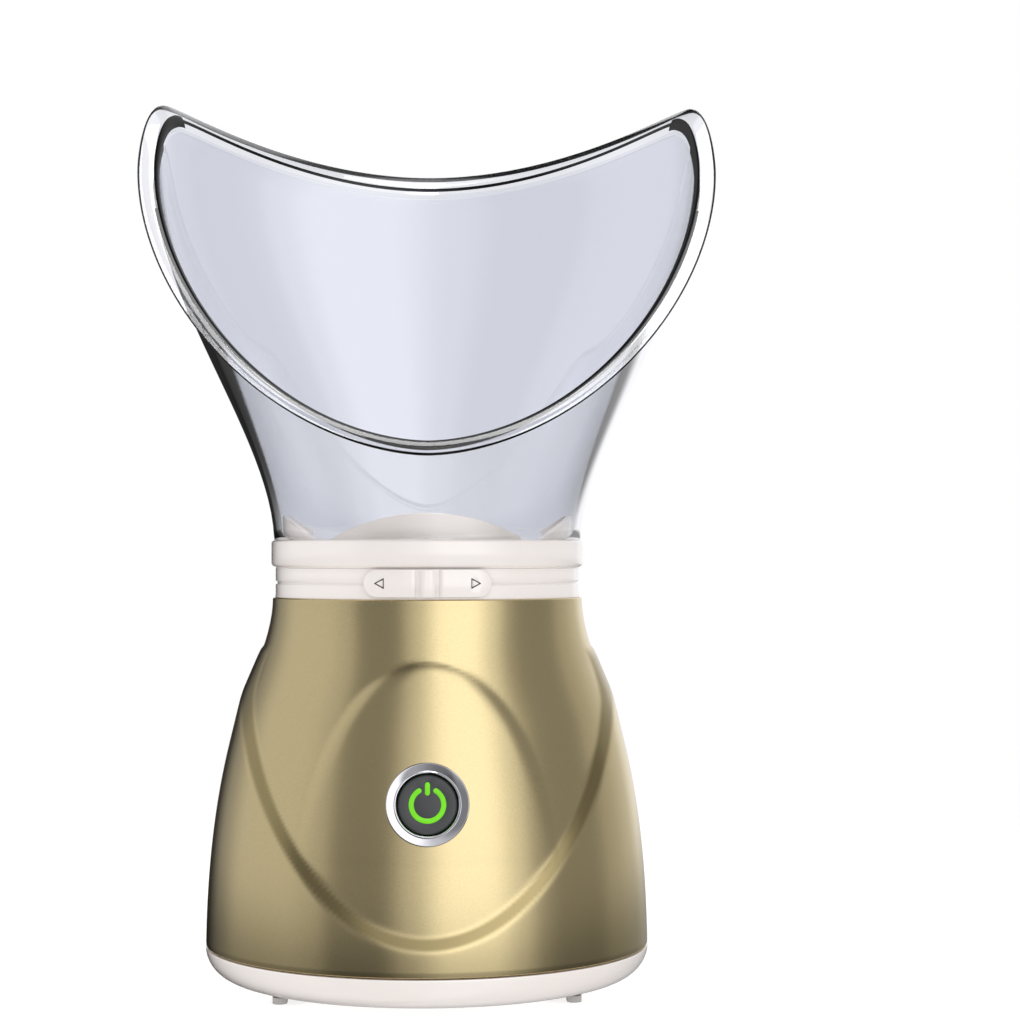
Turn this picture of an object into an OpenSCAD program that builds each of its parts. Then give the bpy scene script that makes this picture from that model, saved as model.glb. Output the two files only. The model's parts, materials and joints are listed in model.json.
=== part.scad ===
// Facial steamer with a clear face mask, a lift-off collar, a steam regulator and a mains lead.
// The origin is on the floor under the middle of the body, +Z is up and the button faces -Y.

/* [Housing] */
// Largest radius of the housing, at its foot
housing_r = 73; // [72:0.5:75]
// Height of the seam between the base cover and the housing
seam_z = 12.2; // [12:0.1:12.5]
// Radius of the housing's top edge
housing_top_r = 51.3; // [51:0.1:51.5]
// Thickness of the housing's wall
housing_wall = 2.2; // [2:0.1:2.6]
// How far the side wings stand out from the recessed front
wing_step = 1.6; // [1.2:0.1:1.8]
// Half the width of the U-shaped window that the wings leave
window_half_w = 57.7; // [57:0.1:58]
// Height from the window's lowest point to where it is widest
window_h = 71.6; // [70:0.2:73]
// Height of the raised pad's top in the front and back windows
pad_top_z = 107.8; // [106:0.2:109]

/* [Mask] */
// Half the mask's width across the horns
mask_half_w = 96.5; // [95:0.5:99]
// Half the mask's depth at the back of the rim
mask_back = 66; // [64:0.5:68]
// Half the mask's depth at the front of the rim
mask_front = 66; // [65:0.5:69]
// Wall thickness of the mask
mask_wall = 2.4; // [2.2:0.1:2.6]
// Width of the turned-out lip
mask_lip = 4.8; // [4:0.2:5.4]

/* [Collar and regulator] */
// Outer radius of the collar
collar_r = 51.8; // [51.4:0.1:52]
// Height of the crown's front and back lobes
front_lobe_h = 8.4; // [7:0.2:9]
// Height of the crown's side lobes
side_lobe_h = 8.4; // [7:0.2:9]
// Outer radius of the neck ring
neck_r = 50.4; // [50.2:0.1:50.4]
// Width of the regulator's finger plate
slider_w = 40; // [38:1:42]
// Height of the regulator's finger plate
slider_h = 8.6; // [8.2:0.1:8.6]

/* [Button] */
// Height of the button's centre
button_z = 64.5; // [62:0.5:66]
// Radius of the chrome bezel
bezel_r = 12.8; // [12.4:0.1:13]
// Radius of the moving cap
cap_r = 9.1; // [8.8:0.1:9.2]
// Angle by which the button faces upwards
button_tilt = 9; // [8:1:10]

/* [Mains lead] */
// Diameter of the mains lead
cord_d = 6.4; // [6.4:0.1:6.4]
// Radius of the plug's round face
plug_r = 18.4; // [18:0.1:18.8]
// Length of a plug pin
pin_l = 19; // [19:0.5:19]
// Radius of a plug pin
pin_r = 2.4; // [2.4:0.05:2.4]

/* [Hidden] */

$fn = 96;
gap = 0.05;
gold = [0.72, 0.63, 0.43];
ivory = [0.93, 0.90, 0.89];
steel = [0.75, 0.75, 0.76];
black = [0.12, 0.12, 0.13];

// ---- Outlines shared by several pieces ----

housing_foot_z = seam_z + 0.5;
housing_top_z = 126.4;
neck_top_z = 136.2;
collar_top_z = 145.3;
window_side_z = 94;
shoulder_z = 79;
wing_slope = 0.24;
blend_z = 88;
profile_steps = 18;

// Outer radius of the wings at height z: a power curve that runs on as a straight cone above the shoulder
function wing_radius(z) =
    z < shoulder_z ? housing_r - 11.3 * pow(z / 92.3, 2.5)
    : housing_r - 11.3 * pow(shoulder_z / 92.3, 2.5) - wing_slope * (z - shoulder_z);

// Radius of the recessed surface, which also makes the neck above the wings
function core_radius(z) =
    let (
        t = (housing_top_z - z) / (housing_top_z - blend_z),
        foot_r = wing_radius(blend_z) - wing_step,
        rise = foot_r - housing_top_r
    )
    z < blend_z ? wing_radius(z) - wing_step
    : housing_top_r + rise * (3 * t * t - 2 * t * t * t)
        + wing_slope * (housing_top_z - blend_z) * (t * t * t - t * t);

// Radius of the wings' skin: over the shoulder its step dies away in a rounded end
wing_end_z = 110.5;
function wing_skin(z) =
    let (step = wing_radius(z) - core_radius(z), fall = max(0, (z - 98) / (wing_end_z - 98)))
    z < 98 ? max(wing_radius(z), core_radius(z) + min(step, 2.1))
    : core_radius(z) + 2.1 * sqrt(max(0, 1 - fall * fall));

function heights(low, high, n) = [for (i = [0:n]) low + (high - low) * i / n];

// A block with round ends along X, standing on z = 0
module pill(length, width, height) {
    linear_extrude(height) {
        square([length - width, width], center = true);
        for (side = [-1, 1]) translate([side * (length - width) / 2, 0]) circle(d = width);
    }
}

// A flat ring standing on z = 0
module ring(outer_r, inner_r, height) {
    rotate_extrude() translate([inner_r, 0]) square([outer_r - inner_r, height]);
}

// The children four times, at 45 degrees between the axes, at distance r from the middle
module four_corners(r) {
    for (a = [45:90:315]) rotate(a) translate([r, 0, 0]) children();
}

// The children turned so that their +Z runs out through the button's axis
module on_button_axis() {
    translate([0, -core_radius(button_z) - 0.3, button_z]) rotate([90 - button_tilt, 0, 0]) children();
}

// The tube that follows points, with a flat ring of sides corners at each one
function ring_normal(points, i) =
    let (
        a = points[max(0, i - 1)],
        b = points[min(len(points) - 1, i + 1)]
    ) (b - a) / norm(b - a);

module tube(points, diameter, sides = 8) {
    n = len(points);
    rings = [
        for (i = [0:n - 1])
            let (
                along = ring_normal(points, i),
                across = cross(along, abs(along[2]) < 0.9 ? [0, 0, 1] : [1, 0, 0]),
                u = across / norm(across),
                v = cross(along, u)
            )
            for (k = [0:sides - 1])
                points[i] + diameter / 2 * (cos(360 * k / sides) * u + sin(360 * k / sides) * v)
    ];
    walls = [
        for (i = [0:n - 2], k = [0:sides - 1])
            let (m = (k + 1) % sides, a = i * sides)
            [[a + k, a + m, a + sides + m], [a + k, a + sides + m, a + sides + k]]
    ];
    polyhedron(
        rings,
        concat(
            [for (pair = walls) pair[0]],
            [for (pair = walls) pair[1]],
            [[for (k = [sides - 1:-1:0]) k]],
            [[for (k = [0:sides - 1]) (n - 1) * sides + k]]
        )
    );
}

// ---- Housing, base and neck ----

corner_boss_r = 58;
corner_boss_foot_z = 13.8;
deck_boss_r = 43.2;
deck_z = 118;
bezel_seat = -1.2;
bezel_barrel_r = 10.9;
cord_z = 17.6;
relief_r = 5.2;

// A pointed egg: the outline of the front and back windows
window_top_h = 55.7;
module window_outline() {
    polygon([
        for (a = [150:7.5:390])
            [window_half_w * cos(a), window_side_z + (
                sin(a) < 0 ? -window_h * pow(-sin(a), 1.27) : window_top_h * pow(sin(a), 1.27)
            )],
        [window_half_w * cos(30), housing_top_z],
        [-window_half_w * cos(30), housing_top_z]
    ]);
}

// A tall arch: the outline of the raised front and back pads
pad_low_z = 47;
pad_half_w = 40;
pad_h = pad_top_z - pad_low_z;
module pad_outline() {
    polygon([
        [-pad_half_w, pad_low_z - 1],
        for (a = [180:-10:0]) [pad_half_w * cos(a), pad_low_z + pad_h * pow(sin(a), 1.15)],
        [pad_half_w, pad_low_z - 1]
    ]);
}

module along_y(half_depth) {
    rotate([90, 0, 0]) linear_extrude(2 * half_depth, center = true) children();
}

module housing() {
    lows = heights(housing_foot_z, housing_top_z, profile_steps);
    wing_lows = heights(housing_foot_z, wing_end_z, profile_steps);
    pad_lows = heights(pad_low_z, pad_low_z + pad_h, 8);
    color(gold) difference() {
        union() {
            rotate_extrude() polygon(concat(
                [for (z = lows) [core_radius(z), z]],
                [for (i = [profile_steps:-1:0]) [core_radius(lows[i]) - housing_wall, lows[i]]]
            ));
            difference() {
                rotate_extrude() polygon(concat(
                    [for (z = wing_lows) [wing_skin(z), z]],
                    [for (i = [profile_steps:-1:0]) [core_radius(wing_lows[i]) - 1.2, wing_lows[i]]]
                ));
                along_y(housing_r + 5) window_outline();
            }
            intersection() {
                rotate_extrude() polygon(concat(
                    [for (z = pad_lows) [core_radius(z) + 0.7 * (z - pad_low_z) / pad_h, z]],
                    [for (i = [8:-1:0]) [core_radius(pad_lows[i]) - 1, pad_lows[i]]]
                ));
                along_y(housing_r + 5) pad_outline();
            }
            four_corners(corner_boss_r) {
                translate([0, 0, corner_boss_foot_z]) cylinder(r = 4, h = 18);
                translate([0, -1, 16.4]) cube([12, 2, 15.4]);
            }
            four_corners(deck_boss_r) {
                translate([0, 0, deck_z - 14]) cylinder(r = 3, h = 14);
                translate([0, -1, deck_z - 5]) cube([7.8, 2, 5]);
            }
            on_button_axis() translate([0, 0, -5]) ring(15, 10, 3.5);
        }
        four_corners(corner_boss_r) translate([0, 0, corner_boss_foot_z - 1]) cylinder(r = 1.4, h = 15);
        four_corners(deck_boss_r) translate([0, 0, deck_z - 10]) cylinder(r = 1.3, h = 12);
        on_button_axis() {
            translate([0, 0, -8]) cylinder(r = bezel_barrel_r + gap, h = 12);
            translate([0, 0, bezel_seat]) cylinder(r = bezel_r + 0.15, h = 6);
        }
        translate([0, housing_r - 8, cord_z]) rotate([-90, 0, 0]) cylinder(r = relief_r, h = 12);
        translate([-relief_r, housing_r - 8, 0]) cube([2 * relief_r, 12, cord_z]);
    }
}

base_foot_z = 2;
base_floor = 2.5;
base_bottom_r = 62;
lip_r = 68.6;

module base_cover() {
    round_r = housing_r - base_bottom_r;
    round_h = seam_z - base_foot_z;
    color(ivory) difference() {
        union() {
            rotate_extrude() polygon(concat(
                [[0, base_foot_z]],
                [for (a = [0:7.5:90]) [base_bottom_r + round_r * sin(a), seam_z - round_h * cos(a)]],
                [[lip_r, seam_z], [lip_r, 16], [lip_r - 1.8, 16], [lip_r - 1.8, 10]],
                [[base_bottom_r - 1, base_foot_z + base_floor], [0, base_foot_z + base_floor]]
            ));
            four_corners(corner_boss_r) translate([0, 0, 3]) cylinder(r = 4.6, h = corner_boss_foot_z - 3);
            for (x = [-26, 26], y = [-30, 12]) translate([x, y, 3]) cylinder(r = 3, h = 7);
            for (x = [-11, 11]) translate([x, 55, 3]) cylinder(r = 3.4, h = 9);
        }
        four_corners(corner_boss_r) {
            translate([0, 0, 1]) cylinder(r = 3.3, h = 4.2);
            translate([0, 0, 4]) cylinder(r = 1.6, h = 12);
        }
        for (x = [-26, 26], y = [-30, 12]) translate([x, y, 5]) cylinder(r = 1.1, h = 6);
        for (x = [-11, 11]) translate([x, 55, 5]) cylinder(r = 1.1, h = 8);
        foot_places() translate([0, 0, 1]) cylinder(r = 1.25, h = 5);
        for (x = [-20:5:20]) translate([x, -8, 1]) pill_along_y(24, 2, 5);
        translate([0, housing_r - 8, cord_z]) rotate([-90, 0, 0]) cylinder(r = relief_r, h = 12);
        translate([0, 60, cord_z]) rotate([-90, 0, 0]) cylinder(r = 6.6, h = 9.5);
    }
}

module pill_along_y(length, width, height) {
    rotate(90) pill(length, width, height);
}

module foot_places() {
    for (x = [-46.2, 46.2], y = [-40.5, 40.5]) translate([x, y, 0]) children();
}

module rubber_feet() {
    color([0.7, 0.69, 0.68]) foot_places() {
        pill_along_y(9, 4.6, base_foot_z);
        cylinder(r = 1.2, h = base_foot_z + base_floor - 0.3);
    }
}

// A pan-head screw: its head's flat face is on z = 0, the thread runs down and the recess is in the head
module screw(head_r, head_h, shank_r, shank_h) {
    difference() {
        union() {
            cylinder(r = head_r, h = head_h);
            translate([0, 0, -shank_h]) cylinder(r = shank_r, h = shank_h + 0.5);
        }
        for (a = [0, 90]) rotate(a) translate([-head_r * 0.6, -0.3, head_h * 0.4])
            cube([head_r * 1.2, 0.6, head_h]);
    }
}

module base_screws() {
    color(steel) four_corners(corner_boss_r)
        translate([0, 0, 5.2]) mirror([0, 0, 1]) screw(3, 1.8, 1.35, 20);
}

slot_z = 129;
slot_h = 2.8;
slot_half_a = 12.5;
groove_z = 131.3;
neck_wall_r = 47;
spigot_seat_z = 133.2;

module neck_ring() {
    skirt_r = housing_top_r - housing_wall - 0.2;
    groove = 0.55;
    color(ivory) difference() {
        rotate_extrude() polygon([
            [skirt_r, deck_z], [skirt_r, housing_top_z],
            [neck_r + 0.1, housing_top_z], [neck_r + 0.1, 127.2],
            [neck_r, 127.4], [neck_r, groove_z - 0.5], [neck_r - groove, groove_z - 0.2],
            [neck_r - groove, groove_z + 0.3], [neck_r, groove_z + 0.6], [neck_r, neck_top_z],
            [neck_wall_r + 1.4, neck_top_z], [neck_wall_r + 1.4, spigot_seat_z],
            [neck_wall_r, spigot_seat_z],
            [neck_wall_r, deck_z + 2.5], [40.5, deck_z + 2.5], [40.5, deck_z]
        ]);
        four_corners(deck_boss_r) translate([0, 0, deck_z - 1]) cylinder(r = 1.5, h = 5);
        rotate(-90 - slot_half_a) rotate_extrude(angle = 2 * slot_half_a)
            translate([neck_wall_r - 2, slot_z]) square([8, slot_h]);
    }
}

// ---- Boiler ----

tank_r = 39.8;
tank_foot_z = 98;
tank_skin = 0.8;
gasket_h = 1;
flange_z = deck_z + 2.5 + gasket_h;
flange_r = 46.2;
clamp_foot_z = flange_z + tank_skin;
clamp_top_z = 129.3;
rim_top_z = 132.8;

module water_tank() {
    corner = 4;
    color(steel) difference() {
        rotate_extrude() polygon(concat(
            [[0, tank_foot_z]],
            [for (a = [-90:15:0]) [
                tank_r - corner + corner * cos(a),
                tank_foot_z + corner + corner * sin(a)
            ]],
            [[tank_r, flange_z], [flange_r, flange_z], [flange_r, flange_z + tank_skin]],
            [[tank_r - tank_skin, flange_z + tank_skin]],
            [for (a = [0:-15:-90]) [
                tank_r - corner + (corner - tank_skin) * cos(a),
                tank_foot_z + corner + (corner - tank_skin) * sin(a)
            ]],
            [[0, tank_foot_z + tank_skin]]
        ));
        four_corners(deck_boss_r) translate([0, 0, flange_z - 1]) cylinder(r = 1.5, h = 3);
    }
}

module tank_gasket() {
    color([0.85, 0.85, 0.87]) difference() {
        translate([0, 0, flange_z - gasket_h]) ring(flange_r, 41, gasket_h);
        four_corners(deck_boss_r) translate([0, 0, flange_z - 2]) cylinder(r = 1.5, h = 3);
    }
}

module clamp_ring() {
    color(ivory) difference() {
        rotate_extrude() polygon([
            [40, clamp_foot_z], [46.6, clamp_foot_z], [46.6, rim_top_z], [44.6, rim_top_z],
            [44.6, clamp_top_z], [40, clamp_top_z]
        ]);
        four_corners(deck_boss_r) {
            translate([0, 0, clamp_foot_z - 1]) cylinder(r = 1.5, h = 4);
            translate([0, 0, clamp_foot_z + 2]) cylinder(r = 2.9, h = 12);
        }
        rotate(-90 - slot_half_a) rotate_extrude(angle = 2 * slot_half_a)
            translate([43, slot_z]) square([6, slot_h + 3]);
    }
}

module clamp_screws() {
    color(steel) four_corners(deck_boss_r)
        translate([0, 0, clamp_foot_z + 2]) screw(2.6, 1.6, 1.2, 14);
}

heater_h = 8;
heater_r = 34;
element_r = 24;
heater_foot_z = tank_foot_z - heater_h;

module heater_plate() {
    color([0.8, 0.8, 0.8]) difference() {
        translate([0, 0, heater_foot_z]) cylinder(r = heater_r, h = heater_h);
        rotate(30) rotate_extrude(angle = 300) translate([element_r, heater_foot_z + 3.5]) circle(r = 3.3);
        rotate(30) rotate_extrude(angle = 300)
            translate([element_r - 3.3, heater_foot_z - 1]) square([6.6, 4.5]);
        three_places(30) translate([0, 0, heater_foot_z - 1]) cylinder(r = 1.5, h = heater_h + 0.2);
    }
}

module three_places(r) {
    for (a = [90, 210, 330]) rotate(a) translate([r, 0, 0]) children();
}

module heating_element() {
    color([0.45, 0.42, 0.4]) {
        rotate(30) rotate_extrude(angle = 300) translate([element_r, heater_foot_z + 3.5]) circle(r = 3.2);
        for (a = [32.5, 327.5]) rotate(a)
            translate([element_r, 0, heater_foot_z - 7]) cylinder(r = 1, h = 8);
    }
}

shield_z = 82;

module heater_screws() {
    color(steel) three_places(30) translate([0, 0, shield_z]) mirror([0, 0, 1]) screw(2.8, 1.6, 1.4, 14.5);
}

module shield_spacers() {
    color([0.9, 0.88, 0.8]) three_places(30)
        translate([0, 0, shield_z + 1]) ring(3.2, 1.5, heater_foot_z - shield_z - 1);
}

module thermostat() {
    color(black) {
        translate([0, 0, heater_foot_z - 5]) cylinder(r = 8, h = 5);
        for (x = [-4, 4]) translate([x - 1.5, -0.4, heater_foot_z - 6.8]) cube([3, 0.8, 2]);
    }
}

module thermal_fuse() {
    color([0.85, 0.8, 0.6]) translate([-9, -14, heater_foot_z - 2.2]) rotate([0, 90, 0]) {
        cylinder(r = 2, h = 18);
        translate([0, 0, -6]) cylinder(r = 0.5, h = 30);
    }
}

module heat_shield() {
    color(steel) difference() {
        rotate_extrude() polygon([
            [0, shield_z], [41, shield_z], [42, shield_z + 1], [42, 94], [41, 94], [41, shield_z + 1.4],
            [40.6, shield_z + 1], [0, shield_z + 1]
        ]);
        three_places(30) translate([0, 0, shield_z - 1]) cylinder(r = 1.5, h = 3);
        for (a = [32.5, 327.5]) rotate(a) translate([element_r, 0, shield_z - 1]) cylinder(r = 2.5, h = 3);
    }
}

// ---- Button ----

cap_top = 0.5;
travel = 1.2;
symbol_r = 4.95;
symbol_stroke = 1.55;

module button_bezel() {
    color(steel) on_button_axis() rotate_extrude() polygon([
        [cap_r + 0.5, -14], [bezel_barrel_r, -14], [bezel_barrel_r, bezel_seat], [bezel_r, bezel_seat],
        [bezel_r, 0.6], [bezel_r - 0.3, 0.95], [bezel_r - 0.7, 1], [10.4, 0.25], [10.2, 0.7], [9.9, 0.85],
        [cap_r + 0.5, 0.7]
    ]);
}

module bezel_nut() {
    color(black) on_button_axis() translate([0, 0, -8]) difference() {
        cylinder(r = 14.5, h = 3, $fn = 6);
        translate([0, 0, -1]) cylinder(r = bezel_barrel_r + gap, h = 5);
    }
}

module switch_body() {
    color(black) on_button_axis() {
        translate([0, 0, -22]) cylinder(r = 9.5, h = 10);
        for (x = [-5, 0, 5]) translate([x - 1, -0.4, -26]) cube([2, 0.8, 5]);
    }
}

module button_led() {
    color([0.6, 0.95, 0.5]) on_button_axis() {
        translate([0, 0, -12]) cylinder(r = 1.5, h = 2.4);
        translate([0, 0, -9.6]) sphere(r = 1.5, $fn = 32);
    }
}

// The power symbol's ring and bar, from depth to height above the button's zero face
module symbol(low, height) {
    translate([0, 0, low]) {
        rotate(121) rotate_extrude(angle = 298)
            translate([symbol_r - symbol_stroke / 2, 0]) square([symbol_stroke, height]);
        for (a = [121, 59]) rotate(a) translate([symbol_r, 0, 0]) cylinder(d = symbol_stroke, h = height);
        translate([0, 4.8, 0]) pill_along_y(4, symbol_stroke, height);
    }
}

module button_cap() {
    color([0.25, 0.25, 0.26]) on_button_axis() difference() {
        union() {
            rotate_extrude() polygon([
                [0, -3], [cap_r - 1.6, -3], [cap_r - 1.6, -7], [cap_r, -7],
                [cap_r, cap_top - 0.5], [cap_r - 0.5, cap_top], [0, cap_top]
            ]);
            rotate_extrude() translate([5.6, -3.5]) square([1, 1]);
        }
        symbol(cap_top - 0.8, 2);
    }
}

module power_symbol() {
    color([0.45, 0.95, 0.1]) on_button_axis() symbol(cap_top - 0.8, 0.85);
}

module button_spring() {
    turns = 5;
    steps = 14;
    wire = 0.7;
    low = -10.6;
    high = -3.4;
    coil_r = 4;
    color(steel) on_button_axis() tube(
        [for (i = [0:turns * steps]) [
            coil_r * cos(360 * i / steps),
            coil_r * sin(360 * i / steps),
            low + wire / 2 + (high - low - wire) * i / (turns * steps)
        ]],
        wire,
        6
    );
}

// ---- Regulator and steam cover ----

shutter_z = 129.6;
shutter_h = 1.6;
vent_in_r = 26;
vent_out_r = 40;
vents = 8;
slider_in_r = neck_r + 0.4;
slider_out_r = slider_in_r + 1.5;
slider_z = 131.6;

module vent_cuts(low, height, width_a) {
    for (i = [0:vents - 1]) rotate(i * 360 / vents - width_a / 2)
        rotate_extrude(angle = width_a) translate([vent_in_r, low])
            square([vent_out_r - vent_in_r, height]);
}

module shutter_ring() {
    color([0.88, 0.86, 0.84]) difference() {
        union() {
            translate([0, 0, shutter_z]) ring(44.2, 20, shutter_h);
            translate([-2.4, -slider_in_r, shutter_z]) cube([4.8, slider_in_r - 43.5, shutter_h]);
        }
        vent_cuts(shutter_z - 1, shutter_h + 2, 18);
    }
}

module arrow_outline(way) {
    points = [[1.8, 0], [-1.4, 1.7], [-1.4, -1.7]];
    scale([way, 1]) difference() {
        polygon(points);
        polygon(points * 0.62);
    }
}

module slider_plate() {
    low = slider_z - slider_h / 2;
    color(ivory) difference() {
        intersection() {
            union() {
                translate([0, 0, low]) ring(slider_out_r, slider_in_r, slider_h);
                rotate(-92) rotate_extrude(angle = 4)
                    translate([slider_in_r, low]) square([2.3, slider_h]);
            }
            translate([0, -slider_in_r - 4, slider_z]) rotate([90, 0, 0])
                translate([0, 0, -14]) pill(slider_w, slider_h, 26);
        }
        for (a = [-94.3, -87.4]) rotate(a) rotate_extrude(angle = 1.7)
            translate([slider_out_r - 0.7, low - 1]) square([3, slider_h + 2]);
        for (way = [-1, 1]) rotate(way * 16.8) translate([0, -slider_out_r + 0.25, slider_z])
            rotate([90, 0, 0]) linear_extrude(3) arrow_outline(way);
    }
}

cover_r = 45.8;

module steam_cover() {
    dome_r = 22;
    dome_h = 3;
    sphere_r = (dome_r * dome_r + dome_h * dome_h) / (2 * dome_h);
    half_a = asin(dome_r / sphere_r);
    color(ivory) difference() {
        rotate_extrude() polygon(concat(
            [for (a = [half_a:-half_a / 6:0]) [
                sphere_r * sin(a),
                rim_top_z + 1.6 + dome_h - sphere_r * (1 - cos(a))
            ]],
            [for (a = [0:half_a / 6:half_a]) [
                (sphere_r - 1.6) * sin(a),
                rim_top_z + dome_h - sphere_r * (1 - cos(a))
            ]],
            [[dome_r, rim_top_z], [cover_r, rim_top_z], [cover_r, rim_top_z + 1.6]]
        ));
        vent_cuts(rim_top_z - 1, 4, 18);
    }
}

// ---- Collar and mask ----

crown_out_r = 48;
crown_in_r = 46.2;
lobe_half_w = 31;
spigot_foot_z = 133.6;

// The upright outline of one pair of lobes: a low arc on the collar's top face
module lobe_outline(height) {
    arc_r = (lobe_half_w * lobe_half_w + height * height) / (2 * height);
    half_a = asin(lobe_half_w / arc_r);
    polygon(concat(
        [[-lobe_half_w, collar_top_z - 1]],
        [for (i = [-10:10]) [
            arc_r * sin(half_a * i / 10),
            collar_top_z + height - arc_r * (1 - cos(half_a * i / 10))
        ]],
        [[lobe_half_w, collar_top_z - 1]]
    ));
}

module mask_collar() {
    bevel = 0.6;
    foot = 1.5;
    color(ivory) {
        rotate_extrude() polygon([
            [crown_in_r, spigot_foot_z], [crown_out_r + 0.1, spigot_foot_z],
            [crown_out_r + 0.1, neck_top_z], [collar_r - foot, neck_top_z],
            [collar_r - 0.3, neck_top_z + 0.7], [collar_r, neck_top_z + foot],
            [collar_r, collar_top_z - bevel], [collar_r - bevel, collar_top_z], [crown_in_r, collar_top_z]
        ]);
        intersection() {
            translate([0, 0, collar_top_z - 1]) ring(crown_out_r, crown_in_r, side_lobe_h + 2);
            union() {
                along_y(60) lobe_outline(front_lobe_h);
                rotate(90) along_y(60) lobe_outline(side_lobe_h);
            }
        }
    }
}

mask_foot_r = 51;
side_z = 271.4;
front_drop = 100.5;
horn_a = 20;
horn_z = 293.5;
back_z = 276;
plane_pow = 1.12;
outline_pow = 1.11;
flare_h = 125;
mask_columns = 72;
mask_rows = 12;

function smooth(t) = 3 * t * t - 2 * t * t * t;

// Height of the rim at angle a: a tilted circle in front, two horns and a dip at the back
function rim_z(a, drop) =
    let (
        s = abs(a) > 90 ? 180 - abs(a) : abs(a),
        t = s / horn_a,
        slope = drop * PI / 180 * horn_a
    )
    a < 0 ? side_z - drop * pow(sin(s), plane_pow)
    : s < horn_a ? side_z + (horn_z - side_z) * smooth(t) + slope * (t * t * t - 2 * t * t + t)
    : horn_z - (horn_z - back_z) * smooth(pow((s - horn_a) / (90 - horn_a), 0.88));

// A point of the rim, inset from its outer edge along the lip; a runs from -180 to 180 and -90 is the front
function rim_point(a, inset) =
    let (
        c = sign(cos(a)) * pow(abs(cos(a)), a < 0 ? outline_pow : 1),
        d = a < 0 ? -pow(-sin(a), plane_pow) : sin(a),
        depth = a < 0 ? mask_front - 0.55 * inset : mask_back - 0.8 * inset,
        from_side = min(1, (90 - abs(90 - a)) / 20),
        lift = a < 0 ? 0 : 0.6 * inset * pow(sin(a), 2) + 0.8 * inset * smooth(from_side)
    )
    [(mask_half_w - inset) * c, depth * d, rim_z(a, front_drop - 0.85 * inset) - min(lift, 0.8 * inset)];

// Share of the full flare that the wall has reached at height h above its foot
function flare(h) = smooth(pow(min(1, h / flare_h), 0.9));

// A point of the wall: skin is how far it lies inside the outer surface
function wall_point(a, t, skin) =
    let (
        top = rim_point(a, mask_lip),
        h = top[2] - collar_top_z,
        f = flare(h * t) / flare(h),
        foot = (mask_foot_r - skin) * [cos(a), sin(a)],
        head = [top[0], top[1]] * (1 - skin / norm([top[0], top[1]]))
    )
    [
        foot[0] + (head[0] - foot[0]) * f,
        foot[1] + (head[1] - foot[1]) * f,
        collar_top_z + h * t
    ];

// One closed section of the mask at angle a: up the outer wall, round the lip and down the inner wall
function mask_section(a) =
    let (
        edge = rim_point(a, 0),
        under = wall_point(a, 1, 0),
        top = wall_point(a, 1, mask_wall),
        out = (edge - under) / norm(edge - under),
        up = [0, 0, 1.6]
    )
    concat(
        [for (j = [0:mask_rows]) wall_point(a, j * 0.97 / mask_rows, 0)],
        [edge - 0.6 * out - up / 2, edge, edge - 0.6 * out + up / 2, top + up / 2],
        [for (j = [mask_rows:-1:0]) wall_point(a, j * 0.97 / mask_rows, mask_wall)]
    );

module mask() {
    sections = [for (i = [0:mask_columns - 1]) mask_section(-180 + 360 * i / mask_columns)];
    n = len(sections[0]);
    color([0.85, 0.88, 0.95, 0.4]) polyhedron(
        [for (section = sections) each section],
        [
            for (i = [0:mask_columns - 1], j = [0:n - 1])
                let (
                    a = i * n + j,
                    b = i * n + (j + 1) % n,
                    c = ((i + 1) % mask_columns) * n + (j + 1) % n,
                    d = ((i + 1) % mask_columns) * n + j
                )
                each [[a, b, c], [a, c, d]]
        ]
    );
}

// ---- Electronics and inner wiring ----

board_z = 10;
board_h = 1.6;
board_top_z = board_z + board_h;

module main_board() {
    color([0.1, 0.4, 0.2]) difference() {
        translate([-30, -34, board_z]) cube([60, 50, board_h]);
        for (x = [-26, 26], y = [-30, 12]) translate([x, y, board_z - 1]) cylinder(r = 1.3, h = 4);
    }
}

module board_screws() {
    color(steel) for (x = [-26, 26], y = [-30, 12])
        translate([x, y, board_top_z]) screw(2.2, 1.3, 1.05, 5);
}

module transformer() {
    color([0.95, 0.8, 0.2]) translate([-22, -22, board_top_z]) {
        cube([20, 16, 12]);
        translate([3, -1.5, 2]) cube([14, 19, 12]);
    }
}

module relay() {
    color([0.15, 0.3, 0.6]) translate([4, -24, board_top_z]) cube([19, 15, 15]);
}

module capacitor() {
    color(black) translate([10, 0, board_top_z]) {
        cylinder(r = 4, h = 11);
        cylinder(r = 3.4, h = 11.6);
    }
}

module terminal_block() {
    color([0.2, 0.55, 0.3]) translate([-16, 2, board_top_z]) difference() {
        cube([20, 9, 10]);
        for (x = [3.5, 10, 16.5]) {
            translate([x, 4, 5]) cylinder(r = 1.9, h = 6);
            translate([x, 4, 4.2]) rotate([-90, 0, 0]) cylinder(r = 1.5, h = 6);
        }
    }
}

// The boot's groove takes the edge of the notch; outside, it tapers round the lead
module strain_relief() {
    wall_r = core_radius(cord_z);
    flange_r = 7;
    taper_l = 22;
    color(black) translate([0, 0, cord_z]) rotate([-90, 0, 0]) difference() {
        union() {
            translate([0, 0, wall_r - 5.5]) cylinder(r = flange_r - 0.8, h = 2.4);
            translate([0, 0, wall_r - 4]) cylinder(r = relief_r - gap, h = 8);
            translate([0, 0, wall_r + 1.9]) cylinder(r = flange_r, h = 2);
            translate([0, 0, wall_r + 3.5]) cylinder(r1 = 5.4, r2 = 3.9, h = taper_l);
        }
        translate([0, 0, wall_r - 8]) cylinder(d = cord_d, h = 60);
        for (i = [0:3], side = [0, 1])
            translate([0, 0, wall_r + 8 + 4 * i]) rotate(90 * (i % 2) + 180 * side)
                translate([cord_d / 2 + 0.5, -4, 0]) cube([4, 8, 1.4]);
    }
}

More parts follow.
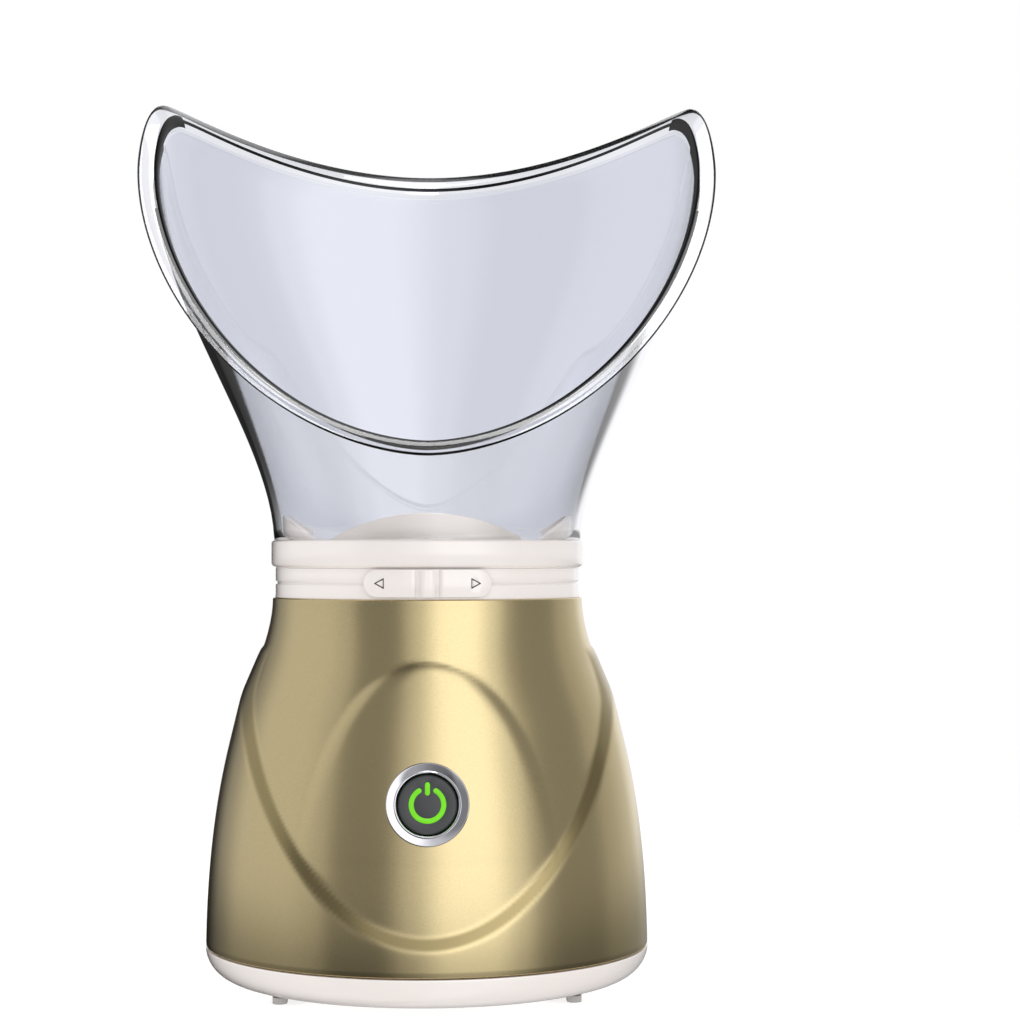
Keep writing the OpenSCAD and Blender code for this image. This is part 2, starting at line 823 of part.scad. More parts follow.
module cord_clamp() {
    color(black) difference() {
        translate([-15, 51.5, 12]) cube([30, 7, 5.4 + cord_d / 2 + 2]);
        translate([0, 50, cord_z]) rotate([-90, 0, 0]) cylinder(d = cord_d, h = 10);
        translate([-cord_d / 2, 50, 11]) cube([cord_d, 10, cord_z - 11]);
        for (x = [-11, 11]) translate([x, 55, 11]) {
            cylinder(r = 1.3, h = 14);
            translate([0, 0, 4]) cylinder(r = 2.8, h = 14);
        }
    }
}

module cord_clamp_screws() {
    color(steel) for (x = [-11, 11]) translate([x, 55, 15]) screw(2.4, 1.5, 1.05, 9);
}

live_wire = [
    [-12.5, 9, 18], [-12.5, 20, 19], [-16, 34, 30], [-12, 38, 50],
    [0, 28, 68], [16, 16, 76], [20.2, 12.9, 84]
];
neutral_wire = [
    [-6, 9, 18], [-4, 24, 20], [6, 34, 34], [14, 20, 56],
    [20, -6, 70], [20.2, -12.9, 76], [20.2, -12.9, 84]
];
switch_wire = [[1, -28, 12.4], [1, -28.5, 20], [1, -30, 34], [0, -33.5, 47], [0, -37, 56], [0, -40, 60]];

// Points between each pair of a route's points, on a smooth curve through all of them
function spline(points, steps) =
    let (last = len(points) - 1)
    concat(
        [
            for (i = [0:last - 1], s = [0:steps - 1])
                let (
                    t = s / steps,
                    a = points[max(0, i - 1)],
                    b = points[i],
                    c = points[i + 1],
                    d = points[min(last, i + 2)]
                )
                0.5 * (2 * b + (c - a) * t + (2 * a - 5 * b + 4 * c - d) * t * t
                    + (3 * b - 3 * c + d - a) * t * t * t)
        ],
        [points[last]]
    );

module heater_wire_live() {
    color([0.45, 0.28, 0.15]) tube(spline(live_wire, 4), 2, 8);
}

module heater_wire_neutral() {
    color([0.15, 0.3, 0.7]) tube(spline(neutral_wire, 4), 2, 8);
}

module switch_lead() {
    color([0.8, 0.8, 0.8]) tube(spline(switch_wire, 4), 2.4, 8);
}

// ---- Mains lead and plug ----

coil_centre = [-38.4, 148, 0];
coil_out_r = 38.4;
coil_in_r = 31.8;
lead_z = cord_d / 2;
plug_at = [60, 88, 0];

// From inside the clamp, out through the boot and down to the floor beside the coil
lead_route = [
    [0, 52, 17.6], [0, 62, 17.6], [0, 72, 17.6], [0, 82, 17.6], [0, 92, 17.6], [0, 98, 17.2],
    [0, 104, 15.6], [0, 110, 13], [0, 116, 9.8], [0, 122, 6.6], [0, 128, 4.2], [0, 134, 3.2],
    [0, 140, 3.2], [0, 146, 3.2]
];

// The last stretch of the top turn lies over the others, then the lead falls to the floor in a half turn
tail_route = concat(
    [
        for (a = [264:14:348])
            let (r = coil_in_r + (coil_out_r - coil_in_r) * smooth((a - 262) / 92))
            [coil_centre[0] + r * cos(a), coil_centre[1] + r * sin(a), 22.4]
    ],
    [
        [0, 150, 22.4], [0, 154, 22.4], [1, 161.8, 22], [4, 169, 20.4], [8.8, 175.2, 17.6],
        [15, 180, 14], [22.2, 183, 10.4], [30, 184, 7.2], [37.8, 183, 4.8], [45, 180, 3.4],
        [51.2, 175.2, 3.2], [56, 169, 3.6], [59, 161.8, 4.8], [60, 154, 6.4], [60, 146, 8],
        [60, 137, 8.8]
    ]
);

module power_cord() {
    color(black) tube(lead_route, cord_d, 10);
}

tie_w = 9;
tie_t = 0.8;
tie_out_r = coil_out_r + lead_z + 1;
tie_in_r = coil_in_r - lead_z - 1.4;

module cord_coil() {
    color(black) translate(coil_centre) rotate(-90) difference() {
        ring(coil_out_r + cord_d / 2, coil_in_r - cord_d / 2, 3 * cord_d);
        translate([-coil_out_r - 5, -tie_w / 2 - gap, -1]) cube([20, tie_w + 2 * gap, 1 + tie_t + gap]);
    }
}

// A strap round all the turns at the side away from the housing
module cord_tie() {
    color(black) translate(coil_centre) rotate(-90) difference() {
        translate([-tie_out_r, -tie_w / 2, 0])
            cube([tie_out_r - tie_in_r, tie_w, 3 * cord_d + tie_t + 0.9]);
        translate([-tie_out_r + tie_t, -tie_w, tie_t])
            cube([tie_out_r - tie_in_r - 2 * tie_t, 2 * tie_w, 3 * cord_d + 0.1]);
    }
}

module cord_tail() {
    color(black) tube(tail_route, cord_d, 10);
}

plug_face_z = 28;
neck_l = 27;
neck_w = 15;
cable_z = 9;

module plug_body() {
    color(black) translate(plug_at) difference() {
        union() {
            translate([0, 0, 7]) cylinder(r = plug_r, h = plug_face_z - 7);
            cylinder(r1 = plug_r - 4, r2 = plug_r - 0.4, h = 7.5);
            translate([-neck_w / 2, 0, 0.6]) cube([neck_w, neck_l, 16]);
        }
        for (side = [-1, 1]) {
            translate([side * (plug_r - 1) - 2, -3.2, 9]) cube([4, 6.4, 22]);
            translate([-3.2, side * (plug_r - 1.4) - 2.6, 7]) cube([6.4, 5.2, 22]);
            translate([side * 9.5, 0, plug_face_z - 12]) cylinder(r = pin_r - 0.35, h = 13);
        }
        translate([0, -10, plug_face_z - 8]) cylinder(r = 2.5, h = 9);
        translate([-4.2, -16, plug_face_z - 0.8]) cube([8.4, 12, 2]);
        translate([-3, 11, plug_face_z - 0.8]) cube([6, 4.8, 2]);
        translate([0, neck_l - 8, cable_z]) rotate([-90, 0, 0]) cylinder(d = cord_d, h = 12);
    }
}

module plug_strain_relief() {
    length = 22;
    color(black) translate(plug_at + [0, neck_l, cable_z]) rotate([-90, 0, 0]) difference() {
        cylinder(r1 = 6.4, r2 = 4.6, h = length);
        translate([0, 0, -1]) cylinder(d = cord_d, h = length + 2);
        for (i = [0:4], side = [0, 1]) translate([0, 0, 3 + 3.6 * i]) rotate(90 * (i % 2) + 180 * side)
            translate([cord_d / 2 + 0.7, -4, 0]) cube([5, 8, 1.5]);
    }
}

module plug_pins() {
    color(steel) translate(plug_at) for (side = [-1, 1]) translate([side * 9.5, 0, 0]) {
        translate([0, 0, plug_face_z - 11.9]) cylinder(r = pin_r - 0.4, h = 13);
        translate([0, 0, plug_face_z + 0.3]) cylinder(r = pin_r, h = pin_l - 1.5);
        translate([0, 0, plug_face_z + pin_l - 1.2]) cylinder(r1 = pin_r, r2 = pin_r - 1.3, h = 1.2);
    }
}

module earth_contacts() {
    depth = plug_r - 1.4;
    color(steel) translate(plug_at) {
        difference() {
            union() {
                translate([-4, -15.8, plug_face_z - 0.7]) cube([8, 11.6, 0.6]);
                translate([-2.8, -depth + 2.4 - 0.8, 9]) cube([5.6, 0.6, plug_face_z - 9.4]);
            }
            translate([0, -10, plug_face_z - 3]) cylinder(r = 2.5, h = 6);
        }
        translate([-2.8, 11.2, plug_face_z - 0.7]) cube([5.6, 4.4, 0.6]);
        translate([-2.8, depth - 2.2, 9]) cube([5.6, 0.6, plug_face_z - 9.4]);
    }
}

housing();
base_cover();
rubber_feet();
base_screws();
neck_ring();
water_tank();
tank_gasket();
clamp_ring();
clamp_screws();
heater_plate();
heating_element();
heater_screws();
thermostat();
thermal_fuse();
heat_shield();
shield_spacers();
button_bezel();
bezel_nut();
switch_body();
button_led();
main_board();
board_screws();
transformer();
relay();
capacitor();
terminal_block();
cord_clamp();
cord_clamp_screws();
strain_relief();
heater_wire_live();
heater_wire_neutral();
switch_lead();
button_cap();
power_symbol();
button_spring();
shutter_ring();
slider_plate();
steam_cover();
mask_collar();
mask();
power_cord();
cord_coil();
cord_tail();
cord_tie();
plug_body();
plug_strain_relief();
plug_pins();
earth_contacts();
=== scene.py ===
import json
import math

import bmesh
import bpy
import numpy as np
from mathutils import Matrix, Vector


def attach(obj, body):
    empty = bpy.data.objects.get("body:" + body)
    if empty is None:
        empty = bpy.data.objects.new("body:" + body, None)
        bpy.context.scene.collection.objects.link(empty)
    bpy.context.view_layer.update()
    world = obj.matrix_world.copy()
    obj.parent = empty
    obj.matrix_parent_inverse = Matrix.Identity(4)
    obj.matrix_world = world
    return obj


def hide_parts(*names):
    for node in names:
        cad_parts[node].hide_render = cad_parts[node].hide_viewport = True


MM = 0.001
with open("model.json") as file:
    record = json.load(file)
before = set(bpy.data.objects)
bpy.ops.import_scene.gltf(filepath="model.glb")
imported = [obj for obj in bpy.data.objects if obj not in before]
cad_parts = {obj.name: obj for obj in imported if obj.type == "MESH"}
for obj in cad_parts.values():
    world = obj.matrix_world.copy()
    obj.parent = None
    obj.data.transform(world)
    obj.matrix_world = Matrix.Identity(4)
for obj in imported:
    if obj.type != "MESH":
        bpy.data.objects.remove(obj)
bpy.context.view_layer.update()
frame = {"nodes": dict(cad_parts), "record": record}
nodes = frame["nodes"]

# ---- Camera ----

CAMERA_DISTANCE = 0.790
CAMERA_HEIGHT = 0.142
CAMERA_YAW = 1.99
CAMERA_PITCH = 0.97

camera_data = bpy.data.cameras.new("camera")
camera_data.lens = 83.65
camera_data.sensor_width = 36
camera = bpy.data.objects.new("camera", camera_data)
camera.location = (0, -CAMERA_DISTANCE, CAMERA_HEIGHT)
camera.rotation_euler = (math.radians(90 + CAMERA_PITCH), 0, math.radians(-CAMERA_YAW))
bpy.context.scene.collection.objects.link(camera)
bpy.context.scene.camera = camera


# ---- Materials ----

class Nodes:
    """A material's node tree, with short ways to add nodes and join them."""

    def __init__(self, name):
        self.material = bpy.data.materials.new(name)
        self.material.use_nodes = True
        self.tree = self.material.node_tree
        self.shader = self.tree.nodes["Principled BSDF"]
        self.output = self.tree.nodes["Material Output"]

    def add(self, kind, **sockets):
        node = self.tree.nodes.new(kind)
        for key, value in sockets.items():
            if hasattr(node, key) and key not in node.inputs:
                setattr(node, key, value)
            else:
                self.give(node.inputs[key], value)
        return node

    def give(self, socket, value):
        if isinstance(value, bpy.types.NodeSocket):
            self.tree.links.new(value, socket)
        else:
            socket.default_value = value

    def set(self, **sockets):
        for key, value in sockets.items():
            self.give(self.shader.inputs[key.replace("_", " ")], value)

    def place(self):
        return self.add("ShaderNodeTexCoord").outputs["Object"]

    def noise(self, scale, detail=3, roughness=0.5):
        return self.add(
            "ShaderNodeTexNoise", Vector=self.place(), Scale=scale, Detail=detail, Roughness=roughness
        ).outputs["Fac"]

    def between(self, factor, low, high):
        """A number that runs from low to high as factor runs from 0.3 to 0.7."""
        node = self.add("ShaderNodeMapRange", Value=factor)
        for key, value in (("From Min", 0.3), ("From Max", 0.7), ("To Min", low), ("To Max", high)):
            node.inputs[key].default_value = value
        return node.outputs["Result"]

    def ramp(self, value, low, high):
        """0 below low and 1 above high, with a smooth step between."""
        node = self.add("ShaderNodeMapRange", Value=value, interpolation_type="SMOOTHSTEP")
        node.inputs["From Min"].default_value = low
        node.inputs["From Max"].default_value = high
        return node.outputs["Result"]

    def mixed(self, factor, a, b):
        node = self.add("ShaderNodeMix", data_type="RGBA")
        self.give(node.inputs["Factor"], factor)
        self.give(node.inputs["A"], a)
        self.give(node.inputs["B"], b)
        return node.outputs["Result"]

    def bump(self, height, depth, strength=0.3):
        node = self.add("ShaderNodeBump", Height=height)
        node.inputs["Strength"].default_value = strength
        node.inputs["Distance"].default_value = depth
        self.set(Normal=node.outputs["Normal"])


def colour(r, g, b):
    """An opaque linear colour from 0-255 display values."""
    def linear(c):
        c = c / 255
        return c / 12.92 if c <= 0.04045 else ((c + 0.055) / 1.055) ** 2.4
    return (linear(r), linear(g), linear(b), 1.0)


def plastic(name, rgb, rough, grain=900, depth=0.00003, spread=0.06, strength=0.25):
    """Moulded plastic: a faint change of colour, uneven gloss and a fine grain."""
    m = Nodes(name)
    base = colour(*rgb)
    dark = tuple(c * (1 - spread) for c in base[:3]) + (1,)
    m.set(
        Base_Color=m.mixed(m.between(m.noise(38), 0, 1), dark, base),
        Roughness=m.between(m.noise(160), rough - 0.04, rough + 0.05),
    )
    m.bump(m.noise(grain, 2), depth, strength)
    return m


def metal(name, rgb, rough, grain=700, depth=0.00002, spread=0.1, stretch=None):
    """Bare metal: uneven gloss and a fine grain, drawn out along an axis if it is brushed."""
    m = Nodes(name)
    base = colour(*rgb)
    dark = tuple(c * (1 - spread) for c in base[:3]) + (1,)
    where = m.place()
    if stretch:
        where = m.add("ShaderNodeMapping", Vector=where, Scale=stretch).outputs["Vector"]
    fine = m.add("ShaderNodeTexNoise", Vector=where, Scale=grain, Detail=3).outputs["Fac"]
    m.set(
        Base_Color=m.mixed(m.between(fine, 0, 1), dark, base),
        Roughness=m.between(fine, rough - 0.05, rough + 0.07),
    )
    m.shader.inputs["Metallic"].default_value = 1.0
    m.bump(fine, depth, 0.3)
    return m


def gold_material():
    """Champagne gold satin paint: metal flakes under a thin clear coat, with painted shade darkening the flat
    bevel round each window.
    """
    m = Nodes("champagne_gold")
    flakes = m.add("ShaderNodeTexVoronoi", Vector=m.place(), Scale=2600).outputs["Color"]
    tone = m.add("ShaderNodeSeparateColor", Color=flakes).outputs["Red"]
    cloud = m.noise(24)
    deep = colour(216, 198, 149)
    light = colour(226, 208, 159)
    paint = m.mixed(tone, m.mixed(cloud, deep, light), light)
    # Painted shade: the flat bevel round each window is coloured a darker gold.
    bevel_painted_shade = m.add("ShaderNodeAttribute", attribute_name="bevel").outputs["Fac"]
    m.set(
        Base_Color=m.mixed(bevel_painted_shade, paint, colour(172, 156, 112)),
        Roughness=m.between(cloud, 0.19, 0.22),
    )
    m.shader.inputs["Metallic"].default_value = 1.0
    m.shader.inputs["Coat Weight"].default_value = 0.05
    m.shader.inputs["Coat Roughness"].default_value = 0.2
    m.bump(tone, 0.000004, 0.15)
    return m


def clear_material(name, front, back, edge_glare=False):
    """Clear moulded plastic with a tint for the front half and a darker tint for the back half, the back's
    darkening painted shade, and a glossy skin.
    """
    m = Nodes(name)
    place = m.add("ShaderNodeSeparateXYZ", Vector=m.place())
    # Painted shade: the back half, past y = 0, is coloured darker than the front.
    behind = m.ramp(place.outputs["Y"], -0.02, 0.02)
    m.set(
        Base_Color=m.mixed(behind, front, back),
        Roughness=m.between(m.noise(60), 0.0, 0.012),
    )
    m.shader.inputs["Transmission Weight"].default_value = 1.0
    m.shader.inputs["IOR"].default_value = 1.03
    m.shader.inputs["Coat Weight"].default_value = 1.0
    m.shader.inputs["Coat IOR"].default_value = 1.85
    m.shader.inputs["Coat Roughness"].default_value = 0.03
    if edge_glare:
        facing = m.add("ShaderNodeLayerWeight", Blend=0.5).outputs["Facing"]
        low = m.add("ShaderNodeMath", operation="SUBTRACT")
        low.inputs[0].default_value = 1.0
        m.give(low.inputs[1], m.ramp(place.outputs["Z"], 0.214, 0.226))
        glare = m.add("ShaderNodeMath", operation="MULTIPLY")
        m.give(glare.inputs[0], m.ramp(facing, 0.67, 0.71))
        m.give(glare.inputs[1], low.outputs[0])
        m.set(Metallic=glare.outputs[0])
    m.bump(m.noise(14, 1), 0.0002, 0.04)
    return m


def glow_material(name, rgb, power):
    """A lit lens, a little brighter in its middle stretches."""
    m = Nodes(name)
    lit = colour(*rgb)
    m.set(
        Base_Color=tuple(c * 0.3 for c in lit[:3]) + (1,),
        Emission_Color=m.mixed(m.between(m.noise(400), 0, 1), tuple(c * 0.85 for c in lit[:3]) + (1,), lit),
        Roughness=m.between(m.noise(300), 0.3, 0.4),
    )
    m.shader.inputs["Emission Strength"].default_value = power
    return m


ivory = plastic("ivory_plastic", (237, 230, 226), 0.14, 1100, 0.00001, 0.02, 0.1)
ivory.set(Specular_IOR_Level=0.8, Coat_Weight=0.9, Coat_Roughness=0.08, Coat_IOR=1.6)
gold = gold_material()
black_pvc = plastic("black_pvc", (22, 22, 24), 0.42, 1600, 0.00004, 0.25)
black_plastic = plastic("black_plastic", (26, 26, 28), 0.38, 2200, 0.00005, 0.2, 0.35)
steel = metal("brushed_steel", (205, 205, 208), 0.28, 500, 0.00002, 0.12, (1, 1, 14))
chrome = metal("chrome", (226, 226, 230), 0.07, 300, 0.000004, 0.03)
plated = metal("nickel_plate", (216, 212, 202), 0.16, 900, 0.00001, 0.06)
# Painted shade: each clear material's back colour, here and for the lip, is darker than its front.
CLEAR_FRONT = (1, 1, 1, 1)
CLEAR_BACK_SHADE = (0.71, 0.73, 0.81, 1)
clear = clear_material("clear_plastic", CLEAR_FRONT, CLEAR_BACK_SHADE, edge_glare=True)
clear_inside = clear_material("clear_inside", CLEAR_FRONT, CLEAR_BACK_SHADE)
clear_lip = clear_material("clear_lip", (0.96, 0.96, 0.98, 1), (0.92, 0.93, 0.96, 1))
# Painted shade: a near-black line along the mask's rim, standing for the dark edges that refraction gives.
painted_rim_shade = plastic("painted_rim_shade", (5, 5, 6), 0.12, 1200, 0.00001, 0.2, 0.1)
cap_grey = plastic("cap_grey", (62, 63, 64), 0.35, 1500, 0.00002, 0.08)
green_glow = glow_material("green_light", (118, 226, 22), 0.75)
ink = plastic("ink", (48, 44, 42), 0.5, 2500, 0.00001, 0.1)

BY_SLOT = {
    "gold_metal": gold,
    "ivory_plastic": ivory,
    "grey_rubber": plastic("grey_rubber", (176, 173, 170), 0.7, 1800, 0.00006, 0.12, 0.4),
    "bright_steel": steel,
    "cast_alloy": metal("cast_alloy", (196, 196, 196), 0.46, 1300, 0.00012, 0.16),
    "element_sheath": metal("element_sheath", (124, 112, 100), 0.42, 900, 0.00005, 0.3),
    "silicone": plastic("silicone", (222, 222, 226), 0.5, 600, 0.00004, 0.08),
    "black_plastic": black_plastic,
    "black_pvc": black_pvc,
    "phenolic": plastic("phenolic", (52, 46, 42), 0.5, 1200, 0.00006, 0.2, 0.4),
    "ceramic_white": plastic("steatite", (228, 222, 208), 0.6, 1500, 0.00008, 0.1, 0.4),
    "chrome_trim": chrome,
    "dark_cap": cap_grey,
    "green_light": green_glow,
    "clear_mask": clear,
    "board_green": plastic("board_green", (26, 92, 50), 0.35, 260, 0.00008, 0.3, 0.5),
    "tape_yellow": plastic("tape_yellow", (232, 196, 62), 0.3, 420, 0.00005, 0.12),
    "relay_blue": plastic("relay_blue", (36, 74, 156), 0.28, 900, 0.00003, 0.1),
    "can_sleeve": plastic("can_sleeve", (28, 28, 34), 0.25, 700, 0.00003, 0.2),
    "terminal_green": plastic("terminal_green", (58, 140, 80), 0.4, 1200, 0.00005, 0.12),
    "wire_brown": plastic("wire_brown", (112, 68, 36), 0.4, 1500, 0.00003, 0.12),
    "wire_blue": plastic("wire_blue", (38, 78, 178), 0.4, 1500, 0.00003, 0.12),
    "wire_grey": plastic("wire_grey", (188, 188, 190), 0.4, 1500, 0.00003, 0.1),
    "plated_brass": plated,
}


# ---- Mesh helpers ----

def add_piece(name, vertices, faces, material, body, slot, stands_for=(), smooth_angle=40):
    """A new mesh in millimetres, shaded smooth up to an angle, riding on a body of the frame."""
    mesh = bpy.data.meshes.new(name)
    mesh.from_pydata([Vector(v) * MM for v in vertices], [], faces)
    face_outwards(mesh)
    piece = bpy.data.objects.new(name, mesh)
    bpy.context.scene.collection.objects.link(piece)
    mesh.materials.append(material.material)
    shade(mesh, smooth_angle)
    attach(piece, body)
    if stands_for:
        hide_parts(*stands_for)
    return piece


def face_outwards(mesh):
    shape = bmesh.new()
    shape.from_mesh(mesh)
    bmesh.ops.recalc_face_normals(shape, faces=shape.faces)
    shape.to_mesh(mesh)
    shape.free()


def shade(mesh, angle):
    """Smooth shading that keeps edges sharper than angle degrees crisp."""
    mesh.polygons.foreach_set("use_smooth", np.ones(len(mesh.polygons), bool))
    if angle < 180:
        mesh.set_sharp_from_angle(angle=math.radians(angle))


def loft(rings, closed_sections=False):
    """Vertices and quads of a surface through rings of points, each ring closed on itself."""
    n = len(rings[0])
    vertices = [tuple(p) for ring in rings for p in ring]
    faces = []
    last = len(rings) if closed_sections else len(rings) - 1
    for i in range(last):
        a, b = i * n, (i + 1) % len(rings) * n
        faces += [(a + k, a + (k + 1) % n, b + (k + 1) % n, b + k) for k in range(n)]
    if not closed_sections:
        faces.append(tuple(range(n - 1, -1, -1)))
        faces.append(tuple((len(rings) - 1) * n + k for k in range(n)))
    return vertices, faces


def smoothstep(t):
    t = np.clip(t, 0, 1)
    return t * t * (3 - 2 * t)


# ---- Mains lead ----

CORD_D = 6.4
COIL_CENTRE = (-38.4, 148)
COIL_OUTER = 38.4
COIL_INNER = 31.8
LEAD = [
    (0, 52, 17.6), (0, 62, 17.6), (0, 72, 17.6), (0, 82, 17.6), (0, 92, 17.6), (0, 98, 17.2), (0, 104, 15.6),
    (0, 110, 13), (0, 116, 9.8), (0, 122, 6.6), (0, 128, 4.2), (0, 134, 3.2), (0, 140, 3.2), (0, 146, 3.2),
]
TAIL = [
    (0, 150, 22.4), (0, 154, 22.4), (1, 161.8, 22), (4, 169, 20.4), (8.8, 175.2, 17.6), (15, 180, 14),
    (22.2, 183, 10.4), (30, 184, 7.2), (37.8, 183, 4.8), (45, 180, 3.4), (51.2, 175.2, 3.2), (56, 169, 3.6),
    (59, 161.8, 4.8), (60, 154, 6.4), (60, 146, 8), (60, 137, 8.8), (60, 130, 9),
]
# Where the turns change lanes, a little earlier each turn: (degrees taken, radius after, level after)
FIRST_LANE = 282
LANE_EVERY = 334
LANES = [
    (71, COIL_INNER, 0), (60, COIL_INNER, 1), (71, COIL_OUTER, 1),
    (60, COIL_OUTER, 2), (71, COIL_INNER, 2), (60, COIL_INNER, 3),
]
LANES = [(FIRST_LANE + LANE_EVERY * i, *lane) for i, lane in enumerate(LANES)]
# The lead's way out over the top of the turns
LANES.append((2062, 92, COIL_OUTER, 3))
TIE_ANGLE = 90
TIE_LIFT = 0.85


def eased(t):
    """0 to 1 along two parabolas, the gentlest bend for its length."""
    t = min(1, max(0, t))
    return 2 * t * t if t < 0.5 else 1 - 2 * (1 - t) ** 2


def coil_points():
    """The coil's centreline: six turns in two columns and three layers, lifted a little at the tie."""
    points = []
    for angle in range(5, 2160, 6):
        radius, level = COIL_OUTER, 0
        for start, taken, next_radius, next_level in LANES:
            share = eased((angle - start) / taken)
            radius += (next_radius - radius) * share
            level += (next_level - level) * share
        from_tie = abs((angle - TIE_ANGLE + 180) % 360 - 180)
        a = math.radians(angle)
        points.append((
            COIL_CENTRE[0] + radius * math.cos(a),
            COIL_CENTRE[1] + radius * math.sin(a),
            CORD_D / 2 + level * CORD_D + TIE_LIFT * eased((40 - from_tie) / 30),
        ))
    return points


def catmull(points, steps):
    """Points on a smooth curve through all of points."""
    p = np.array(points, float)
    p = np.vstack([2 * p[0] - p[1], p, 2 * p[-1] - p[-2]])
    out = []
    for i in range(1, len(p) - 2):
        a, b, c, d = p[i - 1:i + 3]
        for t in np.arange(steps) / steps:
            out.append(0.5 * (2 * b + (c - a) * t + (2 * a - 5 * b + 4 * c - d) * t * t
                              + (3 * b - 3 * c + d - a) * t ** 3))
    out.append(p[-2])
    return out


cord_line = catmull(LEAD, 3) + coil_points() + catmull(TAIL, 3)
cord_line = [tuple(float(c) * MM for c in p) for p in cord_line]
curve = bpy.data.curves.new("mains_lead", "CURVE")
curve.dimensions = "3D"
curve.bevel_depth = CORD_D / 2 * MM
curve.bevel_resolution = 6
spline = curve.splines.new("POLY")
spline.points.add(len(cord_line) - 1)
for point, place in zip(spline.points, cord_line):
    point.co = (*place, 1)
spline.use_smooth = True
mains_lead = bpy.data.objects.new("mains_lead", curve)
bpy.context.scene.collection.objects.link(mains_lead)
curve.materials.append(black_pvc.material)
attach(mains_lead, "base_unit")
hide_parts("power_cord", "cord_coil", "cord_tail")


# ---- Gold housing ----

HOUSING_R = 73
FOOT_Z = 12.7
TOP_Z = 126.4
TOP_R = 51.3
BLEND_Z = 88
SHOULDER_Z = 79
WALL = 2.2
WING_STEP = 1.6
WING_OUT = 2.1
WING_FADE_Z = 98
WING_END_Z = 110.5
PAD_RISE = 0.85
PAD_LOW = 44
PAD_TOP = 107.8
PAD_HALF_W = 40.3
PAD_ROLL = 5
WINDOW_Z = 94
WINDOW_HALF_W = 59.5
WINDOW_DOWN = 73.1
WINDOW_UP = 55.7
WINDOW_POW = 1.575
BEVEL_W = 3.4
BUTTON_Z = 64.5
BUTTON_TILT = 9
BUTTON_HOLE_R = 11.2
LEAD_Z = 17.6
LEAD_HOLE_R = 5.4


def wing_radius(z):
    z = np.asarray(z, float)
    curved = HOUSING_R - 11.3 * (np.minimum(z, SHOULDER_Z) / 92.3) ** 2.5
    return curved - 0.24 * np.maximum(z - SHOULDER_Z, 0)


def core_radius(z):
    z = np.asarray(z, float)
    t = np.clip((TOP_Z - z) / (TOP_Z - BLEND_Z), 0, 1)
    rise = wing_radius(BLEND_Z) - WING_STEP - TOP_R
    neck = TOP_R + rise * (3 * t * t - 2 * t ** 3) + 0.24 * (TOP_Z - BLEND_Z) * (t ** 3 - t * t)
    return np.where(z < BLEND_Z, wing_radius(z) - WING_STEP, neck)


def outline_depth(x, z, half_w, centre_z, down, up, power):
    """Distance inside a pointed egg's outline: positive inside, in mm."""
    h = np.where(z < centre_z, down, up)
    u, v = np.abs(x) / half_w, np.abs(z - centre_z) / h
    level = 1 - u ** 2 - v ** power
    slope = np.sqrt((2 * u / half_w) ** 2 + (power * v ** (power - 1) / h) ** 2) + 1e-3
    return level / slope


def soft_ramp(t, corner=0.1):
    """0 to 1 in a straight line with its two corners slightly rounded."""
    return 0.5 + (np.sqrt((t + corner) ** 2 + corner ** 2) - np.sqrt((t - 1 - corner) ** 2 + corner ** 2)) / (
        2 * (1 + 2 * corner))


def housing_radius(angle, z):
    """Radius of the outer surface at an angle from +X and a height."""
    core = core_radius(z)
    x = core * np.cos(angle)
    inside = outline_depth(x, z, WINDOW_HALF_W, WINDOW_Z, WINDOW_DOWN, WINDOW_UP, WINDOW_POW)
    wing = np.clip(soft_ramp(1 - inside / BEVEL_W), 0, 1)
    fall = np.clip((z - WING_FADE_Z) / (WING_END_Z - WING_FADE_Z), 0, 1)
    out = np.minimum(np.maximum(wing_radius(z) - core, 0), WING_OUT) * np.sqrt(1 - fall ** 2)
    pad_inside = outline_depth(x, z, PAD_HALF_W, PAD_LOW, 400, PAD_TOP - PAD_LOW, 1.75)
    roll = 1 - (1 - np.clip(pad_inside / PAD_ROLL, 0, 1)) ** 2
    pad = PAD_RISE * roll * np.clip((z - PAD_LOW - 2) / 52, 0, 1) ** 0.8
    return core + out * wing + pad * (1 - wing)


def spread(low, high, count, weight):
    """count numbers from low to high, closer together where weight is larger."""
    fine = np.linspace(low, high, 4001)
    total = np.concatenate([[0], np.cumsum(weight((fine[1:] + fine[:-1]) / 2))])
    return np.interp(np.linspace(0, total[-1], count), total, fine)


def column_weight(angle):
    from_middle = np.degrees(np.abs(np.arcsin(np.cos(angle))))
    return 1 + 1.9 * np.clip((from_middle - 30) / 10, 0, 1) * np.clip((84 - from_middle) / 4, 0, 1)


def row_weight(z):
    return 1 + 1.8 * (smoothstep((z - 17) / 3) - smoothstep((z - 34) / 6))


COLUMNS = 610
angles = spread(0, 2 * math.pi, COLUMNS + 1, column_weight)[:-1]
rows = np.concatenate([
    [FOOT_Z, FOOT_Z + 0.25], spread(FOOT_Z + 0.8, TOP_Z - 0.6, 134, row_weight), [TOP_Z - 0.2, TOP_Z]
])
edge_round = np.zeros(len(rows))
edge_round[[0, -1]] = 0.35
edge_round[[1, -2]] = 0.1


def circle_ring(radius, z):
    return np.stack([radius * np.cos(angles), radius * np.sin(angles), np.full(COLUMNS, z)], 1)


outer = [circle_ring(housing_radius(angles, z) - inset, z) for z, inset in zip(rows, edge_round)]
inner = [
    circle_ring(np.full(COLUMNS, float(core_radius(z)) - WALL), z)
    for z in np.linspace(TOP_Z, FOOT_Z, 14)
]
housing_shell = add_piece(
    "housing_shell", *loft(outer + inner, closed_sections=True),
    gold, "base_unit", "gold_metal", ["housing"], 35
)


